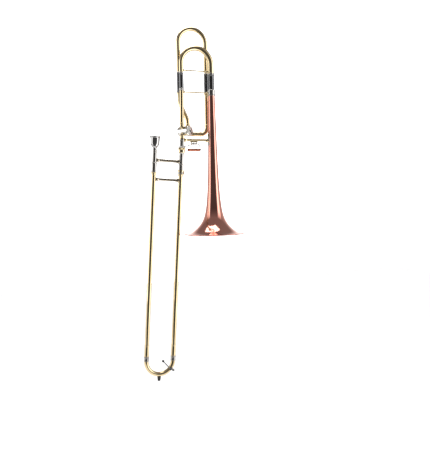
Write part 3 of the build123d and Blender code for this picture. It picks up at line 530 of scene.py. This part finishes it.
# Sleeves, rings and bows of the main tuning slide
low, high = span("bell_ferrule", BELL)
ferrule = [(12.35, low), (13.2, low), (13.6, low + 1.6), (13.6, low + 3.2), (13.1, low + 4.4)]
ferrule += [(12.9, high - 8), (12.9, high - 4.5), (13.2, high - 3.6), (13.2, high - 1.0)]
ferrule += [(12.5, high), (11.4, high)]
ferrule += [(11.4, high - 3.2), (11.0, high - 3.2), (11.0, low + 6), (12.35, low + 5)]
dress_turned("bell_ferrule", [BELL], ferrule, round_by=0.4)
low, high = span("large_slide_sleeve", BELL)
beads = (high - 1.6, high - 4.4)
dress_turned("large_slide_sleeve", [BELL], beaded(11.2, 10.5, low, high, beads, 0.5, 1.2))
low, high = span("small_slide_sleeve", SMALL)
beads = (high - 1.6, high - 4.4)
dress_turned("small_slide_sleeve", [SMALL], beaded(8.3, 7.75, low, high, beads, 0.5, 1.2))
low, high = span("small_sleeve_ring", SMALL)
dress_turned("small_sleeve_ring", [SMALL], beaded(8.95, 8.45, low, high, (low + 1.4, high - 1.6), 0.4, 1.0))
BOW_SMALL, BOW_LARGE, BOW_WALL = 7.9 * MM, 10.9 * MM, 0.7 * MM
TAPER_START, TAPER_SHARE = 0.14, 0.72
low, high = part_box("tuning_bow")
bow_radius = -SMALL_X / 2
bow_centre = high.z - bow_radius - (BOW_SMALL + BOW_LARGE) / 2
small_foot, large_foot = (SMALL_X, 0, low.z), (0, 0, low.z)
half_turn = [k * pi / 72 for k in range(73)]
crown = [(SMALL_X / 2 - bow_radius * cos(a), 0, bow_centre + bow_radius * sin(a)) for a in half_turn]


def bow_outer(share):
    """The bow's radius at a share of its length, growing between its two straight ends."""
    return BOW_SMALL + (BOW_LARGE - BOW_SMALL) * min(1, max(0, (share - TAPER_START) / TAPER_SHARE))


def bow_inner(share):
    return bow_outer(share) - BOW_WALL


bow = sweep("look_tuning_bow", [small_foot] + crown + [large_foot], bow_outer, bow_inner)
dress(bow, "tuning_bow")
low, high = span("tuning_bow_rings", BELL)
mid_bead = ((low + high) / 2,)
rings = [turned(BELL, *beaded(11.5, 10.56, low, high, mid_bead, 0.5, 1.6)),
         turned(SMALL, *beaded(8.5, 7.81, low, high, mid_bead, 0.5, 1.6))]
dress(join("look_tuning_bow_rings", rings), "tuning_bow_rings")

# F tubing
F_BOW_OUTER, F_BOW_INNER = 7.7 * MM, 7.1 * MM
low, high = span("f_slide_sleeves", F_LEFT)
stay_ring = (low + high) / 2 + 1.5
beads = (low + 1.4, low + 4.0, stay_ring, high - 3.8, high - 1.4)
dress_turned("f_slide_sleeves", [F_LEFT, F_RIGHT], beaded(8.3, 7.75, low, high, beads, 0.5, 1.2))
low, high = span("f_bow_rings", F_LEFT)
mid_bead = ((low + high) / 2,)
dress_turned("f_bow_rings", [F_LEFT, F_RIGHT], beaded(8.6, 7.78, low, high, mid_bead, 0.5, 1.4))
low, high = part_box("f_tuning_bow")
f_radius = (F_RIGHT_X - F_LEFT_X) / 2
f_centre = high.z - f_radius - F_BOW_OUTER
f_middle = (F_RIGHT_X + F_LEFT_X) / 2
crown = [(f_middle - f_radius * cos(a), F_Y, f_centre + f_radius * sin(a)) for a in half_turn]
f_route = [(F_LEFT_X, F_Y, low.z)] + crown + [(F_RIGHT_X, F_Y, low.z)]
dress(sweep("look_f_tuning_bow", f_route, F_BOW_OUTER, F_BOW_INNER), "f_tuning_bow")

# Braces with dished trumpet feet and turned collars


FOOT_DEPTH = 6
FOOT_LIP = 0.9
LIP_STEP = 0.5
COLLAR = 0.5
TRUMPET_STEPS = 6


def half_brace(rod_radius, foot, waist):
    """One end of a cross brace, from inside its tube to the rod: trumpet foot, then collar."""
    lip = foot - LIP_STEP
    outline = [(0, -FOOT_DEPTH), (foot, -FOOT_DEPTH), (foot, 0), (lip, FOOT_LIP)]
    for step in range(1, TRUMPET_STEPS + 1):
        share = step / TRUMPET_STEPS
        outline.append((lip + (rod_radius - lip) * sin(share * pi / 2), FOOT_LIP + waist * share))
    outline += [(rod_radius, waist + 2), (rod_radius + COLLAR, waist + 2.5)]
    return outline + [(rod_radius + COLLAR, waist + 3.4), (rod_radius, waist + 3.9)]


def brace_outline(length, rod_radius, foot, near, far, waist=5.0):
    """A cross brace whose feet stop near and far short of its ends."""
    half = half_brace(rod_radius, foot, waist)
    start = [(radius, near + height) for radius, height in half]
    return start + [(radius, length - far - height) for radius, height in half[::-1]]


def dress_brace(node, start, end, shape, cuts):
    """A brace from start to end, cut back to the (tube, radius, low, high) of each tube that it stands on."""
    run = Vector(end) - Vector(start)
    base = shaft(start, run, Vector((0, 0, 1)))
    piece = turned(base, *brace_outline(run.length / MM, *shape), round_by=0.2, segments=64, closed=False)
    tools = []
    for tube, radius, low, high in cuts:
        bar = [(0, low), (radius, low), (radius, high), (0, high)]
        tools.append(turned(tube, *bar, round_by=0, segments=128, closed=False))
    piece.name = "look_" + node
    return dress(carve(piece, tools), node)


CUT_REACH = 9
GRIP_CUT_REACH = 12


def dress_stay(node, shape, small_tube, large_tube):
    """A stay between the small tube and the bell tube of the given radii."""
    height = middle(node).z
    low, high = height / MM - CUT_REACH, height / MM + CUT_REACH
    cuts = [(SMALL, small_tube, low, high), (BELL, large_tube, low, high)]
    dress_brace(node, (SMALL_X, 0, height), (0, 0, height), shape, cuts)


dress_stay("upper_brace", (2.5, 3.9, 10.5, 15.5), 9.1, 13.75)
dress_stay("tuning_brace", (2.5, 4.1, 10.0, 13.0), 8.05, 11.05)


def slide_point(x, z):
    """A point in the hand slide's plane, in millimetres from the lower tube and the swivel joint."""
    return LOWER @ Vector((x * MM, 0, z * MM))


GAP = SLIDE_GAP / MM


def dress_grip(node, rod_radius, foot, upper_tube, lower_tube):
    """A brace of the hand slide, between its upper and lower tube of the given radii."""
    height = sum(span(node, LOWER)) / 2
    low, high = height - GRIP_CUT_REACH, height + GRIP_CUT_REACH
    cuts = [(UPPER, upper_tube, low, high), (LOWER, lower_tube, low, high)]
    shape = (rod_radius, foot, 12.5, 12.5, 6.0)
    dress_brace(node, slide_point(-GAP, height), slide_point(0, height), shape, cuts)


dress_grip("inner_grip_brace", 5.2, 7.2, 8.45, 8.75)
dress_grip("outer_grip_brace", 4.8, 6.8, 8.05, 8.05)

# Neckpipe, nut and receivers
low, high = span("neckpipe", LOWER)
neck = [(7.1, 0), (6.6, low), (7.2, low), (7.25, 0), (7.9, 2), (7.9, high - 5), (8.4, high - 4.4)]
dress_turned("neckpipe", [LOWER], neck + [(8.4, high - 1.2), (7.9, high), (7.1, high)])
low, high = span("neckpipe_collar", LOWER)
collar = [(8.0, low), (12.6, low), (13.2, low + 0.8), (13.2, low + 2.0), (12.4, low + 3), (9.6, low + 3.6)]
collar += [(8.9, high - 0.6), (8.6, high), (8.0, high)]
dress_turned("neckpipe_collar", [LOWER], collar, round_by=0.35)
low, high = span("lock_nut", LOWER)
nut = [(8.1, high), (12.2, high), (12.8, high - 0.7), (12.8, high - 6.0), (12.2, high - 6.8)]
nut += [(11.9, high - 8.5), (11.6, low + 1.6), (11.9, low + 1.0), (11.2, low), (10.1, low)]
nut += [(10.1, high - 6.0), (8.1, high - 3.8)]
KNURLS, KNURL_DEPTH, KNURLED_ABOVE = 40, 0.55, 12.0
knurling = (high - 6.4, high - 0.4, KNURLS, KNURL_DEPTH, KNURLED_ABOVE)
dress_turned("lock_nut", [LOWER], nut, ripple=knurling)
low, high = span("mouthpiece_receiver", UPPER)
receiver = [(6.55, high), (8.2, high), (8.9, high - 0.8), (8.9, high - 4.6), (8.3, high - 5.6)]
receiver += [(8.3, high - 9), (8.7, high - 9.6), (8.7, high - 11.2), (8.3, high - 11.8)]
receiver += [(8.3, low), (7.36, low)]
dress_turned("mouthpiece_receiver", [UPPER], receiver + [(7.36, low + 11), (5.85, low + 11.5)])
low, high = span("cork_barrels", UPPER)
barrel = [(7.31, high), (9.0, high), (9.4, high - 0.5), (9.9, high - 1.4), (9.9, high - 4.2)]
barrel += [(9.4, high - 5.2), (9.4, low + 4.6), (9.9, low + 3.6), (9.9, low + 0.8), (9.6, low)]
barrel += [(8.7, low), (8.7, high - 12)]
dress_turned("cork_barrels", [UPPER, LOWER], barrel + [(7.31, high - 12)])
low, high = span("outer_slide_collars", UPPER)
collar = [(7.95, high), (9.6, high), (10.2, high - 0.8), (10.2, high - 3.0), (9.4, high - 4.4)]
collar += [(8.7, low + 0.8), (8.3, low), (7.95, low)]
dress_turned("outer_slide_collars", [UPPER, LOWER], collar, round_by=0.5)

# Hand slide tubes
for node, base in (("upper_inner_tube", UPPER), ("lower_inner_tube", LOWER)):
    low, high = span(node, base)
    tube = [(6.95, low), (7.42, low), (7.42, low + 97.5), (7.25, low + 98.5), (7.25, high), (6.95, high)]
    dress_turned(node, [base], tube, round_by=0.1, segments=128)
low, high = span("outer_slide_tubes", UPPER)
tube = [(7.5, low), (7.9, low), (7.9, high), (7.5, high)]
dress_turned("outer_slide_tubes", [UPPER, LOWER], tube, round_by=0.08, segments=128)
low, high = span("oversleeves", UPPER)
beads = (low + 1.6, high - 2.0)
dress_turned("oversleeves", [UPPER, LOWER], beaded(8.5, 7.95, low, high, beads, 0.3, 1.4))
low, high = span("crook_ferrules", UPPER)
beads = (low + 1.4, high - 2.0, high - 4.6)
dress_turned("crook_ferrules", [UPPER, LOWER], beaded(9.0, 8.1, low, high, beads, 0.45, 1.2))
low, high = span("slide_crook", UPPER)
CROOK_OUTER, CROOK_INNER = 7.9, 7.0
half = GAP / 2
crook_z = low + half + CROOK_OUTER
bend = [slide_point(-half - half * cos(a), crook_z - half * sin(a)) for a in half_turn]
crook_route = [slide_point(-GAP, high)] + bend + [slide_point(0, high)]
dress(sweep("look_slide_crook", crook_route, CROOK_OUTER * MM, CROOK_INNER * MM), "slide_crook")
BUMPER = shaft(slide_point(-half, low), -slide_up, slide_right)
low, high = span("rubber_bumper", BUMPER)
bumper = [(0, 0.2), (6.3, 0.2), (6.4, 1.0), (6.1, 2.4), (6.2, 3.4), (5.8, 4.4), (5.9, 6.0), (5.5, 8.0)]
bumper += [(5.0, high - 3), (4.4, high - 0.6), (3.4, high), (0, high)]
dress_turned("rubber_bumper", [BUMPER], bumper, round_by=0.5, closed=False)

# Mouthpiece, with cup, throat and backbore
low, high = span("mouthpiece", UPPER)
RIM_EDGE, CUP_FOOT, CUP_THROAT = (13.2, high - 1.2), (12.2, high - 35.5), (3.6, high - 30)
rim = [RIM_EDGE, (14.2, high - 0.3), (16.2, high), (18.2, high - 0.6), (19.3, high - 2.4), (19.3, high - 3.4)]
cup = smooth([(18.4, high - 5.0), (17.0, high - 7.2), (16.5, high - 14), (15.6, high - 27), CUP_FOOT])
cup += smooth([CUP_FOOT, (8.4, high - 39.5), (6.9, high - 42.6), (6.5, high - 46)])[1:]
backbore = [(5.75, low + 0.3), (5.5, low), (4.9, low), (3.3, high - 35), CUP_THROAT]
bowl = smooth([CUP_THROAT, (8.5, high - 23), (11.6, high - 13), (12.8, high - 5), RIM_EDGE])
dress_turned("mouthpiece", [UPPER], rim + cup + backbore + bowl[1:-1], round_by=0.25, segments=128)

# Valve cap, screws and roller
low, high = span("valve_front_cap", VALVE)
cap = [(3.5, low), (15.5, low), (15.5, high - 4.0), (17.5, high - 4.0), (17.5, high - 2.6)]
cap += [(16.9, high - 1.6), (16.9, high - 1.2), (15.6, high - 0.5), (12.0, high - 0.3)]
cap += [(11.6, high - 0.7), (11.0, high - 0.7)]
cap += [(10.6, high - 0.2), (6.4, high), (6.0, high - 0.5), (5.4, high - 0.5), (5.0, high), (3.5, high)]
dress_turned("valve_front_cap", [VALVE], cap, round_by=0.3, segments=128)
low, high = span("stop_arm_screw", VALVE)
screw = [(0, high), (3.9, high), (3.9, low + 0.9), (3.2, low + 0.1), (0, low)]
piece = turned(VALVE, *screw, round_by=0.2, segments=48, closed=False)
slot_base = shaft(VALVE @ Vector((0, 0, low * MM)), valve_axis, valve_side)
slot = box_piece("slot", slot_base, (9 * MM, 0.9 * MM, 1.4 * MM), 0.05 * MM)
piece.name = "look_stop_arm_screw"
dress(carve(piece, [slot]), "stop_arm_screw")
roller_low, roller_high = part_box("thumb_roller")
roller_middle = middle("thumb_roller")
ROLLER = shaft((roller_low.x, roller_middle.y, roller_middle.z), (1, 0, 0), UP)
length = (roller_high.x - roller_low.x) / MM
RIBS = 9
pitch = length / RIBS
roller = [(1.6, 0)]
for rib in range(RIBS):
    foot = rib * pitch
    roller += [(5.0, foot + 0.15), (5.45, foot + 0.9), (5.55, foot + pitch / 2), (5.45, foot + pitch - 0.9)]
    roller += [(5.0, foot + pitch - 0.15)]
dress_turned("thumb_roller", [ROLLER], roller + [(1.6, length)], round_by=0.3, segments=64)
low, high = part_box("lever_spring")
SPRING = shaft((low.x, (low.y + high.y) / 2, (low.z + high.z) / 2), (1, 0, 0), UP)
COIL_RADIUS, COIL_END, COIL_TURNS, COIL_WIRE = 3.45 * MM, 0.45 * MM, 6, 0.42 * MM
coil_top = high.x - low.x - COIL_END
coil = helix("look_lever_spring", SPRING, COIL_RADIUS, COIL_END, coil_top, COIL_TURNS, COIL_WIRE)
dress(coil, "lever_spring")

# --- Stage, light and camera --------------------------------------------------------------------------------

FLOOR_Z = -0.66
FLOOR_HALF = 3.2
FLOOR_FRONT = -0.5
WORLD_STRENGTH = 2.8
DARK_SIDE = (-0.36, -0.93, 0.0)
SHADES = [(0.0, 0.6), (0.06, 0.42), (0.16, 0.22), (0.46, 0.2), (0.51, 0.7), (0.55, 1.0), (0.73, 1.0)]
SHADES += [(0.76, 0.6), (0.795, 0.048), (0.84, 0.036), (1.0, 0.032)]
CEILING_FROM, CEILING_TO = 0.30, 0.62
CEILING = (0.092, 0.088, 0.088, 1)
WHITE = (1, 1, 1, 1)
FLOOR_GLOW = 0.6


def add_world():
    """A white world with a dark room on the camera's side and a dim ceiling, both only for reflections."""
    world = bpy.data.worlds.new("studio")
    bpy.context.scene.world = world
    world.use_nodes = True
    nodes = world.node_tree.nodes
    links = world.node_tree.links
    background = nodes["Background"]
    place = nodes.new("ShaderNodeTexCoord")
    facing = nodes.new("ShaderNodeVectorMath")
    facing.operation = "DOT_PRODUCT"
    facing.inputs[1].default_value = DARK_SIDE
    links.new(place.outputs["Generated"], facing.inputs[0])
    share = nodes.new("ShaderNodeMapRange")
    share.inputs["From Min"].default_value = -1.0
    share.inputs["From Max"].default_value = 1.0
    links.new(facing.outputs["Value"], share.inputs["Value"])
    ramp = nodes.new("ShaderNodeValToRGB")
    while len(ramp.color_ramp.elements) < len(SHADES):
        ramp.color_ramp.elements.new(0.5)
    for element, (position, shade) in zip(ramp.color_ramp.elements, SHADES):
        element.position = position
        element.color = (shade, shade, shade, 1)
    links.new(share.outputs["Result"], ramp.inputs["Fac"])
    split = nodes.new("ShaderNodeSeparateXYZ")
    links.new(place.outputs["Generated"], split.inputs["Vector"])
    height = nodes.new("ShaderNodeMapRange")
    height.inputs["From Min"].default_value = CEILING_FROM
    height.inputs["From Max"].default_value = CEILING_TO
    links.new(split.outputs["Z"], height.inputs["Value"])
    dim = nodes.new("ShaderNodeMix")
    dim.data_type = "RGBA"
    dim.inputs["B"].default_value = CEILING
    links.new(height.outputs["Result"], dim.inputs["Factor"])
    links.new(ramp.outputs["Color"], dim.inputs["A"])
    seen = nodes.new("ShaderNodeLightPath")
    mix = nodes.new("ShaderNodeMix")
    mix.data_type = "RGBA"
    mix.inputs["B"].default_value = WHITE
    links.new(seen.outputs["Is Camera Ray"], mix.inputs["Factor"])
    links.new(dim.outputs["Result"], mix.inputs["A"])
    links.new(mix.outputs["Result"], background.inputs["Color"])
    background.inputs["Strength"].default_value = WORLD_STRENGTH


def add_floor():
    """A pale floor that glows faintly, so that it meets the white behind it without a horizon."""
    mesh = bpy.data.meshes.new("floor")
    h = FLOOR_HALF
    corners = [(-h, FLOOR_FRONT, FLOOR_Z), (h, FLOOR_FRONT, FLOOR_Z), (h, h, FLOOR_Z), (-h, h, FLOOR_Z)]
    mesh.from_pydata(corners, [], [(0, 1, 2, 3)])
    floor = new_object("floor", mesh)
    paper = dull("floor_paper", (0.93, 0.93, 0.93), (0.91, 0.91, 0.91), 0.9, 3.0, 0.0)
    glow = paper.node_tree.nodes["Principled BSDF"]
    glow.inputs["Emission Color"].default_value = WHITE
    glow.inputs["Emission Strength"].default_value = FLOOR_GLOW
    paint(floor, paper)


LAMP_PLACE = Vector((-0.16, 0.15, 1.7))
LAMP_SIZE = (0.8, 1.2)
LAMP_POWER = 12


def add_softbox():
    """One soft box overhead, aimed at the origin."""
    light = bpy.data.lights.new("top_box", "AREA")
    light.shape = "RECTANGLE"
    light.size = LAMP_SIZE[0]
    light.size_y = LAMP_SIZE[1]
    light.energy = LAMP_POWER
    lamp = bpy.data.objects.new("top_box", light)
    bpy.context.scene.collection.objects.link(lamp)
    lamp.location = LAMP_PLACE
    lamp.rotation_euler = (-LAMP_PLACE).to_track_quat("-Z", "Y").to_euler()


CAMERA_AZIMUTH = radians(-18.5)
CAMERA_ELEVATION = radians(3.4)
CAMERA_ROLL = radians(-1.3)
CAMERA_DISTANCE = 1.9
VIEW_HEIGHT = 1.661
SENSOR_MM = 24.0
TARGET = Vector((0.002, 0.0, 0.008))


def add_camera():
    data = bpy.data.cameras.new("camera")
    data.sensor_fit = "VERTICAL"
    data.sensor_height = SENSOR_MM
    data.lens = data.sensor_height * CAMERA_DISTANCE / VIEW_HEIGHT
    camera = bpy.data.objects.new("camera", data)
    bpy.context.scene.collection.objects.link(camera)
    flat = cos(CAMERA_ELEVATION)
    away = Vector((sin(CAMERA_AZIMUTH) * flat, -cos(CAMERA_AZIMUTH) * flat, sin(CAMERA_ELEVATION)))
    camera.location = TARGET + away * CAMERA_DISTANCE
    level = (-away).to_track_quat("-Z", "Y").to_matrix().to_4x4()
    camera.matrix_world = Matrix.Translation(camera.location) @ level @ Matrix.Rotation(CAMERA_ROLL, 4, "Z")
    bpy.context.scene.camera = camera


add_world()
add_floor()
add_softbox()
add_camera()
bpy.context.scene.view_settings.view_transform = "Standard"
